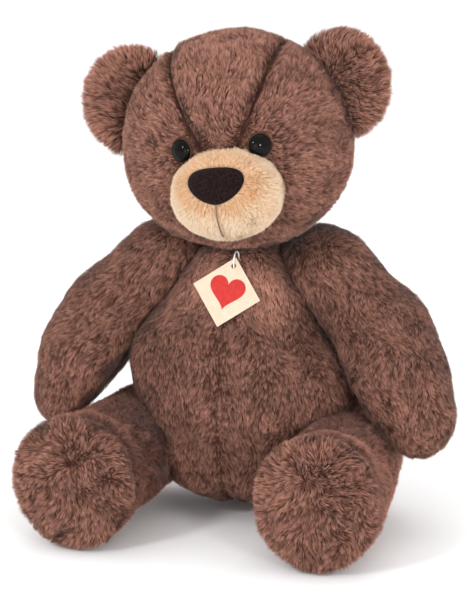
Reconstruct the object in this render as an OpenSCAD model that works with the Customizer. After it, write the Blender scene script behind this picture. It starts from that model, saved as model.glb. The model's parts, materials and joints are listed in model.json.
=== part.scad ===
// Jointed plush teddy bear, sitting, 394 mm tall. It faces -Y, +X is its own left side, it sits on Z = 0.
// Every limb and the head turn on a disc joint: disc and stem in the limb, washer and lock ring in the torso.

/* [Torso] */
// Width of the belly
belly_w = 184; // [174:1:190]
// Depth of the belly, front to back
belly_d = 162; // [154:1:168]
// Height of the belly's widest level above the seat
belly_level = 97; // [94:1:100]
// Width of the chest
chest_w = 120; // [114:1:126]
// Height of the chest's widest level above the seat
chest_level = 180; // [177:1:183]
// Height of the neck joint above the seat
neck_z = 226; // [224:1:228]

/* [Head] */
// Width of the head, without the ears
head_w = 178; // [170:1:184]
// Depth of the head, without the muzzle
head_d = 162; // [154:1:168]
// Height of the head
head_h = 172; // [168:1:178]
// Height of the middle of the head above the seat
head_level = 306; // [304:1:308]
// Sideways tilt of the head at rest, degrees
head_roll = 6.5; // [0:0.5:8]
// Turn of the head at rest, degrees
head_turn = 6; // [0:1:10]
// Width of the muzzle
muzzle_w = 86; // [78:1:92]
// Diameter of an eye's dome
eye_d = 18; // [14:0.5:20]
// Distance between the two eyes
eye_spacing = 62; // [56:1:70]
// Height of an ear
ear_h = 82; // [70:1:88]

/* [Arms] */
// Radius of the upper arm
arm_r = 34; // [30:0.5:35]
// Radius of the hand
hand_r = 33; // [28:0.5:34]
// Upward tilt of the shoulder joint's axis, degrees
shoulder_tilt = 37; // [36:0.5:38]

/* [Legs] */
// Radius of the thigh about the hip joint
hip_r = 43; // [38:0.5:44]
// Width of a foot's sole
foot_w = 90; // [84:1:94]
// Height of a foot's sole
foot_h = 101; // [96:1:104]
// Distance from the hip joint forward to the sole's face
leg_reach = 160; // [150:1:168]

/* [Fabric and joints] */
// Thickness of a plush cover, backing and dense pile together
cover_t = 3; // [2:0.25:4]
// Radius of a joint's disc and washer
disc_r = 17; // [15:0.5:18]
// Radius of a joint's stem
stem_r = 5; // [4:0.25:6]

/* [Hang tag] */
// Side of the square card
tag_side = 40; // [30:1:45]
// Thickness of the card
tag_t = 0.6; // [0.4:0.1:1]

/* [Hidden] */

// Which side a piece is on
left = 1;
right = -1;

// Facets of a soft form, and of the true round parts
soft_fn = 24;
limb_fn = 20;
round_fn = 64;

// Clear space between two covers that turn on each other
joint_gap = 0.6;
// Clear space between loose pieces inside one body
loose = 0.3;
// Half spaces are cut with a block this large
far = 400;

// Torso: half sizes and middles of its soft masses. The upright axis of the body stands behind the origin,
// which is the middle of the whole sitting bear's outline on the ground.
belly_r = [belly_w / 2, belly_d / 2, 81];
axis_y = (leg_reach - belly_r.y) / 2;
belly_pos = [0, axis_y, belly_level];
rump_r = [60, 37, 50];
rump_pos = [0, axis_y + belly_r.y - rump_r.y, 47];
hip_mass_r = [74, 56, 42];
hip_mass_pos = [0, axis_y + 8, 56];
chest_r = [chest_w / 2, 54, 54];
chest_pos = [0, axis_y - 2, chest_level];
neck_y = axis_y - 9;

// Head: half sizes in the head's own frame, whose origin is the middle of the head
head_pos = [0, axis_y - 20, head_level];
head_r = [head_w / 2, head_d / 2, head_h / 2];
cheek_r = [head_w / 2 - 1, head_d / 2 - 9, head_h / 2 - 24];
cheek_pos = [0, -6, -20];
muzzle_pos = [0, -74, -33];
muzzle_r = [muzzle_w / 2, 33, 34];
muzzle_t = 2.5;
nose_t = 2;
eye_out = 27;
eye_up = 4.5;
eye_in_head = sqrt(1 - pow(eye_spacing / 2 / head_r.x, 2) - pow(eye_up / head_r.z, 2));
eye_pos = [eye_spacing / 2, -head_r.y * eye_in_head, eye_up];
ear_r = [37, 14, ear_h / 2];
ear_pos = [87, 0, 38];
ear_lean = 8;
ear_swing = -12;
ear_cup_r = [25, 9, 29];
ear_cup_in = [2, 1, 3];

// Arms: the limb's middle line runs shoulder, elbow, hand
shoulder_pos = [72, axis_y + 2, 196];
elbow_pos = [128, axis_y - 4, 146];
elbow_r = 36;
hand_pos = [150, axis_y - 24, 92];
shoulder_axis = [cos(shoulder_tilt), 0, sin(shoulder_tilt)];
shoulder_inset = 22;
shoulder_face = shoulder_pos - shoulder_inset * shoulder_axis;

// Legs: the hip's flat face is upright, and the feet splay a little
hip_face_x = 54;
hip_pos = [84, axis_y, 50];
hip_half_w = 36;
foot_x = [92, 100];
foot_t = 34;
sole_depth = 12;

// Joint hardware
disc_t = 3;
washer_t = 2.5;
ring_t = 4;
ring_r = 9;
stem_run = 0.05;
press = 0.1;
hole_r = stem_r + 0.8;
disc_z = cover_t + loose;
washer_z = -(joint_gap + cover_t + loose);
ring_z = washer_z - washer_t - loose;
stem_end = ring_z - ring_t - 1.5;

// Hang tag
tag_pivot = [6, axis_y - 52, 211];
tag_slope = 19;
tag_roll = 10;
tag_hole_r = 2;
tag_hole_inset = 5;
loop_r = 7.5;
loop_wire_r = 0.6;
loop_rise = 18;

plush = [0.47, 0.35, 0.30];
plush_dark = [0.40, 0.29, 0.25];
beige = [0.86, 0.74, 0.58];
felt = [0.20, 0.16, 0.15];
filling = [0.95, 0.95, 0.93];
plastic = [0.85, 0.85, 0.82];

// One soft mass: a stretched ball
module mass(pos, half, fn = soft_fn) {
    translate(pos) scale(half) sphere(1, $fn = fn);
}

module on_side(side) {
    mirror([side == left ? 0 : 1, 0, 0]) children();
}

// ---- frames of the joints: local Z points from the torso into the limb, local Z = 0 is the limb's face ----

module at_neck() {
    translate([0, neck_y, neck_z]) children();
}

module at_shoulder(side) {
    on_side(side) translate(shoulder_face) rotate([0, 90 - shoulder_tilt, 0]) children();
}

module at_hip(side) {
    on_side(side) translate([hip_face_x + joint_gap, hip_pos.y, hip_pos.z]) rotate([0, 90, 0]) children();
}

module at_head() {
    translate(head_pos) rotate([0, -head_roll, 0]) rotate([0, 0, head_turn]) children();
}

// Everything below local Z = level
module below(level) {
    translate([-far / 2, -far / 2, level - far]) cube(far);
}

module above(level) {
    translate([-far / 2, -far / 2, level]) cube(far);
}

// ---- disc joint hardware, one set per joint ----

module stem_disc() {
    color(plastic) {
        translate([0, 0, disc_z]) cylinder(r = disc_r, h = disc_t, $fn = round_fn);
        translate([0, 0, stem_end]) cylinder(r = stem_r, h = disc_z - stem_end + 0.1, $fn = round_fn);
    }
}

module joint_washer() {
    color(plastic) translate([0, 0, washer_z - washer_t]) difference() {
        cylinder(r = disc_r, h = washer_t, $fn = round_fn);
        translate([0, 0, -1]) cylinder(r = stem_r + stem_run, h = washer_t + 2, $fn = round_fn);
    }
}

module lock_ring() {
    color(plastic) translate([0, 0, ring_z - ring_t]) difference() {
        cylinder(r = ring_r, h = ring_t, $fn = round_fn);
        translate([0, 0, -1]) cylinder(r = stem_r - press, h = ring_t + 2, $fn = round_fn);
    }
}

// Hole for the stem through both covers
module stem_hole() {
    translate([0, 0, -4 * cover_t]) cylinder(r = hole_r, h = 8 * cover_t, $fn = round_fn);
}

// Space the filling leaves for a disc, and for a washer and ring
module disc_pocket() {
    translate([0, 0, -1]) cylinder(r = disc_r + 1, h = disc_z + disc_t + 2, $fn = round_fn);
}

module washer_pocket() {
    translate([0, 0, stem_end - 2]) cylinder(r = disc_r + 1, h = 2 - stem_end, $fn = round_fn);
}

// ---- torso ----

// Space that one leg sweeps from sitting forward to standing, in the leg's own slice beyond the hip face. It
// rises towards the foot, which is taller than the thigh, and leaves room behind the hip.
sweep_rise = 18;
sweep_back = 8;
module leg_sweep(side, grow) {
    reach = hip_r + 1 + grow;
    front = hip_pos.y - leg_reach;
    behind = hip_pos.y + reach + sweep_back;
    on_side(side) translate([hip_face_x - grow, 0, 0]) rotate([90, 0, 90]) linear_extrude(far) {
        translate([hip_pos.y, hip_pos.z]) circle(r = reach, $fn = round_fn);
        polygon([
            [hip_pos.y, hip_pos.z + reach], [front, hip_pos.z + reach + sweep_rise], [front, -far / 4],
            [behind, -far / 4], [behind, hip_pos.z], [hip_pos.y, hip_pos.z],
        ]);
    }
}

module torso_form(inset) {
    shrink = [inset, inset, inset];
    difference() {
        hull() {
            mass(belly_pos, belly_r - shrink);
            mass(rump_pos, rump_r - shrink);
            mass(hip_mass_pos, hip_mass_r - shrink);
            mass(chest_pos, chest_r - shrink);
        }
        below(inset);
        at_neck() above(-joint_gap - inset);
        for (side = [left, right]) {
            at_shoulder(side) above(-joint_gap - inset);
            leg_sweep(side, inset);
        }
    }
}

module torso_holes() {
    at_neck() stem_hole();
    for (side = [left, right]) {
        at_shoulder(side) stem_hole();
        at_hip(side) stem_hole();
    }
}

module torso_cover() {
    color(plush) difference() {
        torso_form(0);
        torso_form(cover_t);
        torso_holes();
    }
}

module torso_stuffing() {
    color(filling) difference() {
        torso_form(cover_t + loose);
        at_neck() washer_pocket();
        for (side = [left, right]) {
            at_shoulder(side) washer_pocket();
            at_hip(side) washer_pocket();
        }
        at_loop() sphere(r = loop_r + 2, $fn = round_fn);
    }
}

// Hand-sewn ladder stitches that close the back
stitch_count = 11;
stitch_pitch = 6;
stitch_len = 7;
stitch_r = 0.6;
stitch_low = belly_level + 27;
module back_closing_seam() {
    color(plush_dark) for (i = [0 : stitch_count - 1]) {
        z = stitch_low + i * stitch_pitch;
        y = back_y(z);
        translate([-stitch_len / 2, y, z]) rotate([0, 90, 0]) cylinder(r = stitch_r, h = stitch_len, $fn = 16);
    }
}

// The back between belly and chest is the straight run that touches both round masses
back_run = chest_pos - belly_pos;
back_angle = asin((belly_r.y - chest_r.y) / norm(back_run)) - atan2(back_run.y, back_run.z);
function back_y(z) = belly_pos.y + (belly_r.y - (z - belly_level) * sin(back_angle)) / cos(back_angle);

module neck_washer() {
    at_neck() joint_washer();
}

module shoulder_washer(side) {
    at_shoulder(side) joint_washer();
}

module hip_washer(side) {
    at_hip(side) joint_washer();
}

// ---- head ----

module head_blank(inset) {
    shrink = [inset, inset, inset];
    hull() {
        mass([0, 0, 0], head_r - shrink);
        mass(cheek_pos, cheek_r - shrink);
    }
}

module muzzle_blank(inset) {
    hull() mass(muzzle_pos, muzzle_r - [inset, inset, inset]);
}

module at_eye(side) {
    on_side(side) translate(eye_pos) rotate([90, 0, eye_out]) children();
}

eye_r = eye_d / 2;
rim_r = eye_r + 0.7;
rim_t = 1.2;
shank_r = 2.2;
shank_len = 15;
eye_seat = 1.6;

module head_cover() {
    color(plush) difference() {
        at_head() head_blank(0);
        at_neck() below(0);
        difference() {
            at_head() head_blank(cover_t);
            at_neck() below(cover_t);
        }
        at_neck() stem_hole();
        at_head() {
            muzzle_blank(cover_t);
            for (side = [left, right]) at_eye(side) eye_socket();
        }
    }
}

// Bed for an eye's rim, and the hole for its shank
module eye_socket() {
    translate([0, 0, -eye_seat]) cylinder(r = rim_r + 0.3, h = 20, $fn = round_fn);
    translate([0, 0, -shank_len - 3]) cylinder(r = shank_r + 0.2, h = shank_len + 3, $fn = round_fn);
}

module head_stuffing() {
    color(filling) difference() {
        union() {
            difference() {
                at_head() head_blank(cover_t + loose);
                at_neck() below(cover_t + loose);
            }
            at_head() muzzle_blank(cover_t + loose);
        }
        at_neck() disc_pocket();
        at_head() for (side = [left, right]) at_eye(side) {
            translate([0, 0, -shank_len - 2]) cylinder(r = eye_washer_r + 1, h = far / 4, $fn = round_fn);
        }
    }
}

module muzzle_cover() {
    color(beige) at_head() difference() {
        muzzle_blank(0);
        muzzle_blank(muzzle_t);
        head_blank(-0.05);
    }
}

// A skin of one thickness over the muzzle, kept where the children are
module on_muzzle(thick) {
    at_head() difference() {
        intersection() {
            muzzle_blank(-thick);
            children();
        }
        muzzle_blank(-0.02);
        head_blank(-0.05);
    }
}

nose_w = 44;
nose_h = 27;
nose_z = -21;
nose_corner = 10;
nose_tip = 6;
module nose_pad() {
    color(felt) on_muzzle(nose_t) translate([0, muzzle_pos.y, nose_z]) rotate([90, 0, 0]) linear_extrude(60) {
        hull() {
            for (x = [-1, 1]) translate([x * (nose_w / 2 - nose_corner), nose_h / 2 - nose_corner])
                circle(nose_corner, $fn = 24);
            translate([0, nose_tip - nose_h / 2]) circle(nose_tip, $fn = 24);
        }
    }
}

mouth_w = 1.2;
mouth_len = 28;
module mouth_stitch() {
    color(felt) on_muzzle(0.7) translate([0, muzzle_pos.y, nose_z - nose_h / 2]) rotate([90, 0, 0])
        linear_extrude(60) translate([-mouth_w / 2, -mouth_len]) square([mouth_w, mouth_len - 0.5]);
}

module eye(side) {
    color([0.05, 0.04, 0.04]) at_head() at_eye(side) {
        translate([0, 0, rim_t - eye_seat]) intersection() {
            sphere(r = eye_r, $fn = round_fn);
            cylinder(r = eye_r, h = eye_r, $fn = round_fn);
        }
        translate([0, 0, -eye_seat]) cylinder(r = rim_r, h = rim_t, $fn = round_fn);
        translate([0, 0, -shank_len]) cylinder(r = shank_r, h = shank_len - eye_seat + 0.2, $fn = round_fn);
    }
}

eye_washer_r = 7;
eye_washer_t = 1.6;
eye_washer_z = -9;
module eye_washers() {
    color(plastic) at_head() for (side = [left, right]) at_eye(side) translate([0, 0, eye_washer_z]) {
        difference() {
            cylinder(r = eye_washer_r, h = eye_washer_t, $fn = round_fn);
            translate([0, 0, -1]) cylinder(r = shank_r - press, h = eye_washer_t + 2, $fn = round_fn);
        }
    }
}

module ear(side) {
    color(plush) at_head() difference() {
        on_side(side) translate(ear_pos) rotate([0, ear_lean, ear_swing]) difference() {
            hull() mass([0, 0, 0], ear_r);
            hull() mass([0, -ear_r.y, 0] - ear_cup_in, ear_cup_r);
        }
        head_blank(-0.05);
    }
}

module neck_disc() {
    at_neck() stem_disc();
}

module neck_lock_ring() {
    at_neck() lock_ring();
}

// ---- arms ----

module arm_form(side, inset) {
    difference() {
        on_side(side) union() {
            hull() {
                mass(shoulder_pos, (arm_r - inset) * [1, 1, 1], limb_fn);
                mass(elbow_pos, (elbow_r - inset) * [1, 1, 1], limb_fn);
            }
            hull() {
                mass(elbow_pos, (elbow_r - inset) * [1, 1, 1], limb_fn);
                mass(hand_pos, (hand_r - inset) * [1, 1, 1], limb_fn);
            }
        }
        at_shoulder(side) below(inset);
    }
}

module arm_cover(side) {
    color(plush) difference() {
        arm_form(side, 0);
        arm_form(side, cover_t);
        at_shoulder(side) stem_hole();
    }
}

module arm_stuffing(side) {
    color(filling) difference() {
        arm_form(side, cover_t + loose);
        at_shoulder(side) disc_pocket();
    }
}

module arm_disc(side) {
    at_shoulder(side) stem_disc();
}

module arm_lock_ring(side) {
    at_shoulder(side) lock_ring();
}

// ---- legs ----

module leg_form(side, inset) {
    shrink = [inset, inset, inset];
    foot_pos = [foot_x[side == left ? 1 : 0], hip_pos.y - leg_reach + foot_t, foot_h / 2 + 0.5];
    difference() {
        on_side(side) hull() {
            mass(hip_pos, [hip_half_w, hip_r, hip_r] - shrink, limb_fn);
            mass(foot_pos, [foot_w / 2, foot_t, foot_h / 2 + 1] - shrink, limb_fn);
        }
        at_hip(side) below(inset);
        below(inset);
    }
}

// Everything in front of the sole's seam, or everything behind it
module sole_side(in_front) {
    seam_y = hip_pos.y - leg_reach + sole_depth;
    translate([-far / 2, seam_y - (in_front ? far : 0), -far / 2]) cube(far);
}

module leg_cover(side) {
    color(plush) difference() {
        leg_form(side, 0);
        leg_form(side, cover_t);
        at_hip(side) stem_hole();
        sole_side(true);
    }
}

module sole(side) {
    color(plush) difference() {
        leg_form(side, 0);
        leg_form(side, cover_t);
        sole_side(false);
    }
}

module leg_stuffing(side) {
    color(filling) difference() {
        leg_form(side, cover_t + loose);
        at_hip(side) disc_pocket();
    }
}

module leg_disc(side) {
    at_hip(side) stem_disc();
}

module leg_lock_ring(side) {
    at_hip(side) lock_ring();
}

// ---- hang tag ----

// The middle of the loop, which runs from the card's hole back through the chest's fabric
module at_loop() {
    translate(tag_pivot + loop_r * [0, cos(loop_rise), sin(loop_rise)]) children();
}

module tag_loop() {
    color([0.9, 0.9, 0.88]) at_loop() rotate([0, 90, 0])
        rotate_extrude($fn = round_fn) translate([loop_r, 0]) circle(loop_wire_r, $fn = 16);
}

module hang_tag() {
    corner = tag_hole_inset / sqrt(2) + tag_hole_r / sqrt(2);
    color(beige) translate(tag_pivot) rotate([-tag_slope, 0, 0]) rotate([0, tag_roll, 0]) rotate([0, 45, 0])
        difference() {
            translate([-corner, -tag_t / 2, corner - tag_side]) cube([tag_side, tag_t, tag_side]);
            rotate([90, 0, 0]) translate([0, 0, -1]) cylinder(r = tag_hole_r, h = 2, $fn = round_fn);
        }
}

torso_cover();
torso_stuffing();
back_closing_seam();
neck_washer();
shoulder_washer(left);  // shoulder_washer_left
shoulder_washer(right);  // shoulder_washer_right
hip_washer(left);  // hip_washer_left
hip_washer(right);  // hip_washer_right
tag_loop();
hang_tag();
head_cover();
head_stuffing();
muzzle_cover();
nose_pad();
mouth_stitch();
eye(left);  // eye_left
eye(right);  // eye_right
eye_washers();
ear(left);  // ear_left
ear(right);  // ear_right
neck_disc();
neck_lock_ring();
arm_cover(left);  // arm_cover_left
arm_stuffing(left);  // arm_stuffing_left
arm_disc(left);  // arm_disc_left
arm_lock_ring(left);  // arm_lock_ring_left
arm_cover(right);  // arm_cover_right
arm_stuffing(right);  // arm_stuffing_right
arm_disc(right);  // arm_disc_right
arm_lock_ring(right);  // arm_lock_ring_right
leg_cover(left);  // leg_cover_left
leg_stuffing(left);  // leg_stuffing_left
sole(left);  // sole_left
leg_disc(left);  // leg_disc_left
leg_lock_ring(left);  // leg_lock_ring_left
leg_cover(right);  // leg_cover_right
leg_stuffing(right);  // leg_stuffing_right
sole(right);  // sole_right
leg_disc(right);  // leg_disc_right
leg_lock_ring(right);  // leg_lock_ring_right
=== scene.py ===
"""Jointed plush teddy bear: stuffed skins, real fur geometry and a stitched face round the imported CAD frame.

Shapes are worked out in millimetres in the frame's own axes and become metres when a mesh is made. Limbs are
worked out on the bear's left, where X is positive, and mirrored; LEFT and RIGHT entries hold what differs.
"""
import json
import math

import bmesh
import bpy
import numpy as np
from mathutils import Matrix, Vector, kdtree


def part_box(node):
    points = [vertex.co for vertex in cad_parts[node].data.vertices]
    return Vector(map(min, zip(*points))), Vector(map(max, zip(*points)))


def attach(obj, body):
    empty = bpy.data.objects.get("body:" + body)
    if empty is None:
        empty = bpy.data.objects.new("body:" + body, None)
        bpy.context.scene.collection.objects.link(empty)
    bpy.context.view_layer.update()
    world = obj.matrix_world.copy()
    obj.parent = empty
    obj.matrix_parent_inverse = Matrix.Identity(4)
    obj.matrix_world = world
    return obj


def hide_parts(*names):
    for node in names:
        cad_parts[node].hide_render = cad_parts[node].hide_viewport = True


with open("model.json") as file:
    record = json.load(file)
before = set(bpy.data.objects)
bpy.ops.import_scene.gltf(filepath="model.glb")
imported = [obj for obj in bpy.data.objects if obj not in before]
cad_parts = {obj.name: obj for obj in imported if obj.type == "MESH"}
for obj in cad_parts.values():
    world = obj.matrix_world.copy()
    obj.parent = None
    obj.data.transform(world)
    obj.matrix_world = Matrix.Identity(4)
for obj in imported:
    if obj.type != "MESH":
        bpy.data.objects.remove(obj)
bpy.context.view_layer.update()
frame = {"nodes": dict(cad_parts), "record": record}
MM = 0.001
LEFT, RIGHT = 1, -1
SIDE_NAME = {LEFT: "left", RIGHT: "right"}


# ---------------------------------------------------------------- places, read from the frame

JOINT = {joint["name"]: joint for joint in frame["record"]["behaviour"]["joints"]}


def joint_place(name):
    return np.array(JOINT[name]["pos_m"]) / MM


NECK = joint_place("neck")
HIP = joint_place("hip_left")
SHOULDER_FACE = joint_place("shoulder_left")
SHOULDER_AXIS = -np.array(JOINT["shoulder_left"]["axis"])
TAG_PIVOT = joint_place("tag_swing")
AXIS_Y = HIP[1]
SOLE_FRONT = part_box("sole_left")[0][1] / MM

HEAD_MIDDLE = np.array([0.0, AXIS_Y - 20.0, 306.0])
HEAD_ROLL, HEAD_TURN = math.radians(-6.5), math.radians(6.0)


def turn_y(angle):
    c, s = math.cos(angle), math.sin(angle)
    return np.array([[c, 0, s], [0, 1, 0], [-s, 0, c]])


def turn_z(angle):
    c, s = math.cos(angle), math.sin(angle)
    return np.array([[c, -s, 0], [s, c, 0], [0, 0, 1]])


HEAD_AXES = turn_y(HEAD_ROLL) @ turn_z(HEAD_TURN)


def to_head(p):
    """Frame coordinates to the head's own, whose origin is the middle of the head."""
    return (p - HEAD_MIDDLE) @ HEAD_AXES


def from_head(p):
    return np.asarray(p, float) @ HEAD_AXES.T + HEAD_MIDDLE


def mirrored(p, side):
    """Places or directions swapped between the bear's left and the given side."""
    return np.asarray(p, float) * [side, 1, 1]


def on_left(p):
    """Places of both halves, folded onto the bear's left."""
    return p * np.where(p[..., :1] < 0, [-1, 1, 1], [1, 1, 1])


# ---------------------------------------------------------------- distance fields

def length_of(v):
    return np.sqrt((v * v).sum(-1))


def unit(v):
    return v / np.maximum(length_of(v), 1e-9)[..., None]


def near(distance, width):
    """1 at no distance, fading to 0 over about twice the width."""
    return np.exp(-(distance / width) ** 2)


def ramp(value, start, end):
    """0 before the start and 1 after the end, in a straight line between them."""
    return np.clip((value - start) / (end - start), 0, 1)


def ball(p, middle, half):
    """Signed distance, nearly, to an ellipsoid."""
    q = (p - np.asarray(middle, float)) / half
    far = length_of(q)
    return far * (far - 1) / np.maximum(length_of(q / half), 1e-6)


def soft_min(a, b, rounding):
    h = np.clip(0.5 + 0.5 * (b - a) / rounding, 0, 1)
    return b * (1 - h) + a * h - rounding * h * (1 - h)


def soft_max(a, b, rounding):
    return -soft_min(-a, -b, rounding)


def sausage(p, stations, rounding=10.0):
    """Signed distance to a limb that runs through (place, radius) stations."""
    d = None
    for (a, ra), (b, rb) in zip(stations, stations[1:]):
        a, b = np.asarray(a, float), np.asarray(b, float)
        along = np.clip(((p - a) @ (b - a)) / ((b - a) @ (b - a)), 0, 1)[..., None]
        here = length_of(p - a - along * (b - a)) - (ra + along[..., 0] * (rb - ra))
        d = here if d is None else soft_min(d, here, rounding)
    return d


def line_distance(p, points):
    """Distance from p to a line through the points, and how far along it that is, from 0 to 1."""
    points = np.asarray(points, float)
    best = np.full(len(p), 1e9)
    where = np.zeros(len(p))
    for i, (a, b) in enumerate(zip(points, points[1:])):
        along = np.clip(((p - a) @ (b - a)) / ((b - a) @ (b - a)), 0, 1)
        d = length_of(p - a - along[:, None] * (b - a))
        where = np.where(d < best, (i + along) / (len(points) - 1), where)
        best = np.minimum(best, d)
    return best, where


def waves(p, seed, wavelength, count=7):
    """Smooth noise, about -1 to 1, as a sum of waves in seeded directions."""
    rng = np.random.default_rng(seed)
    ways = unit(rng.normal(size=(count, 3))) * rng.uniform(0.6, 1.5, (count, 1))
    starts = rng.uniform(0, 2 * math.pi, count)
    return np.sin(p @ ways.T * (2 * math.pi / wavelength) + starts).sum(-1) / math.sqrt(count) * 0.8


# ---------------------------------------------------------------- the bear's forms

# The skin lies this far inside the CAD cover, which stands for backing and dense pile together
SKIN_IN = 4.0
# The filling's wall lies this far inside the cover
FILL_IN = 9.0
# A soft part stays off the flat face of a joint by a gap and by a share of its depth under the cover
TORSO_GAP, LEG_GAP, FACE_SHARE = 0.6, 0.4, 0.2
# It stays off the floor by a share of that depth
FLOOR_SHARE, FLOOR_ROUNDING = 0.6, 4

# Each lump of the torso is a middle and its half sizes
BELLY = ([0, AXIS_Y, 100], np.array([93, 82, 80.0]))
CHEST = ([0, AXIS_Y - 2, 180], np.array([62, 54, 54.0]))
BACK = ([0, AXIS_Y + 16, 140], np.array([70, 52, 60.0]))
HIPS = ([0, AXIS_Y + 18, 58], np.array([74, 50, 44.0]))
RUMP = ([0, AXIS_Y + 44, 47], np.array([60, 37, 50.0]))
LAP = ([0, AXIS_Y - 12, 50], np.array([74, 57, 42.0]))
# The belly is fuller high on the bear's right side and low on its left
RIGHT_FLANK = ([-20, AXIS_Y - 12, 137], np.array([72, 62, 48.0]))
LEFT_FLANK = ([22, AXIS_Y - 8, 98], np.array([76, 64, 56.0]))
LUMP_ROUNDING = 22

SHOULDER, HAND = np.array([72, AXIS_Y + 2, 197]), np.array([146, AXIS_Y - 24, 93])
ELBOW, WRIST = np.array([115, AXIS_Y - 4, 152]), np.array([130, AXIS_Y - 16, 120])
SHOULDER_R, ELBOW_R, WRIST_R, HAND_R = 37.0, 37.5, 41.0, 37.0
# A lump where the arm meets the neck
YOKE, YOKE_R = [59, AXIS_Y + 2, 206], 32.5
# How far each hand is drawn in, and how much stouter each wrist is
ARM_IN = {LEFT: 2.0, RIGHT: 8.5}
ARM_GROW = {LEFT: 1.5, RIGHT: 5.0}

LEG_LEVEL, LEG_R, KNEE_R = 51, 43, 42.5
FOOT_X = {RIGHT: 93, LEFT: 102}
FOOT_Y = SOLE_FRONT + 34
FOOT_LEVEL, FOOT_HALF = 52, np.array([45, 34, 52.0])
SOLE_Y = SOLE_FRONT + 9
SOLE_LEVEL, SOLE_HALF = 54, np.array([50, 19, 54.0])
# The thighs' own forms, where they press into the belly
THIGH_PRESS = [([92, HIP[1] + 4, 51], 43), ([94, HIP[1] - 70, 52], 43.5), ([97, FOOT_Y, 54], 45)]


def inner_side(q):
    """How near the middle plane a leg reaches: flat at the hip's face, closing in on the belly before it."""
    ahead = ramp(length_of((q - HIP)[..., 1:]), 42, 72) * (q[..., 1] < HIP[1])
    return HIP[0] - 9 * ahead * ahead * (3 - 2 * ahead)


def shoulder_side(q):
    """How far outside the shoulder's flat face a place on the bear's left is."""
    return (q - SHOULDER_FACE) @ SHOULDER_AXIS


def off_floor(d, p, inset):
    """A form cut flat just above the floor."""
    return soft_max(d, inset * FLOOR_SHARE - p[..., 2], FLOOR_ROUNDING)


def leg_shape(side, inset=SKIN_IN):
    foot_x = FOOT_X[side]
    hip, knee = [87, HIP[1], LEG_LEVEL], [(88 + foot_x) / 2, HIP[1] - 60, LEG_LEVEL]
    ankle = [foot_x, FOOT_Y + 22, LEG_LEVEL]
    stations = [(hip, LEG_R - inset), (knee, KNEE_R - inset), (ankle, LEG_R - inset)]

    def shape(p):
        q = mirrored(p, side)
        foot = ball(q, [foot_x, FOOT_Y, FOOT_LEVEL], FOOT_HALF - inset)
        sole = ball(q, [foot_x, SOLE_Y, SOLE_LEVEL], SOLE_HALF - inset)
        d = soft_min(sausage(q, stations), soft_min(foot, sole, rounding=14), rounding=11)
        d = soft_max(d, inner_side(q) + LEG_GAP + inset * FACE_SHARE - q[..., 0], rounding=5)
        return off_floor(d, p, inset)
    return shape


def torso_shape(p, inset=SKIN_IN):
    """A soft heap of lumps, pressed in by the thighs and cut flat for the arms and the head."""
    d = ball(p, BELLY[0], BELLY[1] - inset)
    for middle, half in (CHEST, BACK, HIPS, RUMP, LAP, RIGHT_FLANK, LEFT_FLANK):
        d = soft_min(d, ball(p, middle, half - inset), LUMP_ROUNDING)
    q = on_left(p)
    thigh = soft_max(sausage(q, THIGH_PRESS), inner_side(q) - TORSO_GAP - q[..., 0], rounding=4)
    off_face = TORSO_GAP + inset * FACE_SHARE
    d = soft_max(d, inset * 0.3 - thigh, rounding=7)
    d = soft_max(d, shoulder_side(q) + off_face, rounding=8)
    d = soft_max(d, p[..., 2] - NECK[2] + off_face, rounding=6)
    return off_floor(d, p, inset)


def arm_shape(side, inset=SKIN_IN):
    pull, grow = np.array([ARM_IN[side], 0, 0]), ARM_GROW[side]
    stations = [(SHOULDER, SHOULDER_R - inset), (ELBOW - pull / 3, ELBOW_R + grow / 2 - inset),
                (WRIST - pull, WRIST_R + grow - inset), (HAND - pull, HAND_R - inset)]

    def shape(p):
        q = mirrored(p, side)
        yoke = ball(q, YOKE, np.full(3, YOKE_R - inset))
        d = soft_min(sausage(q, stations, rounding=16), yoke, rounding=12)
        return soft_max(d, inset * FACE_SHARE - shoulder_side(q), rounding=6)
    return shape


def head_form(q, inset):
    """The head in its own coordinates, before seams and dents."""
    skull = ball(q, [0, 0, 1], np.array([91.5, 82, 86.5]) - inset)
    cheeks = ball(q, [0, -8, -22], np.array([83, 68, 58.0]) - inset)
    return soft_min(skull, cheeks, rounding=14)


# Half the distance between the two forehead seams, at levels from the brow up to the crown
SEAM_LEVELS = [4, 22, 44, 69, 82]
SEAM_WIDTHS = [14, 23, 33, 42, 44]
SEAM_SLOPE = 0.93
SEAM_DEPTH, SEAM_WIDTH = 3.0, 2.6
# The seams stop this far behind the head's middle
SEAM_BACK = 8


def seam_side(q):
    """How far outside the nearer forehead seam a place on the head is, measured sideways."""
    return SEAM_SLOPE * (np.abs(q[..., 0]) - np.interp(q[..., 2], SEAM_LEVELS, SEAM_WIDTHS))


def seam_gap(q):
    """Distance to the nearer forehead seam, which runs from over an eye up to the ear's level."""
    under, behind = np.maximum(SEAM_LEVELS[0] - q[..., 2], 0), np.maximum(q[..., 1] - SEAM_BACK, 0)
    return np.abs(seam_side(q)) + under + behind


# Places on the head are in its own coordinates
EYE_PLACE = {LEFT: np.array([32, -75.5, 4.0]), RIGHT: np.array([-29.5, -75.2, 4.6])}
EYE_DENT, EYE_DENT_WIDTH = 4.0, 13


def eye_gap(q, side):
    return length_of(q - EYE_PLACE[side])


def head_shape(p):
    q = to_head(p)
    d = head_form(q, SKIN_IN) + SEAM_DEPTH * near(seam_gap(q), SEAM_WIDTH)
    for side in (LEFT, RIGHT):
        d = d + EYE_DENT * near(eye_gap(q, side), EYE_DENT_WIDTH)
    return soft_max(d, NECK[2] + SKIN_IN * FACE_SHARE - p[..., 2], rounding=6)


EAR_HALF = np.array([40, 14, 43.5])
EAR_MIDDLE = {LEFT: np.array([85.8, 0, 37.0]), RIGHT: np.array([80.0, 0, 36.8])}
EAR_LEAN, EAR_SWING = math.radians(6), math.radians(-12)
EAR_CUP_HALF = np.array([21, 9, 26.0])


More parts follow.
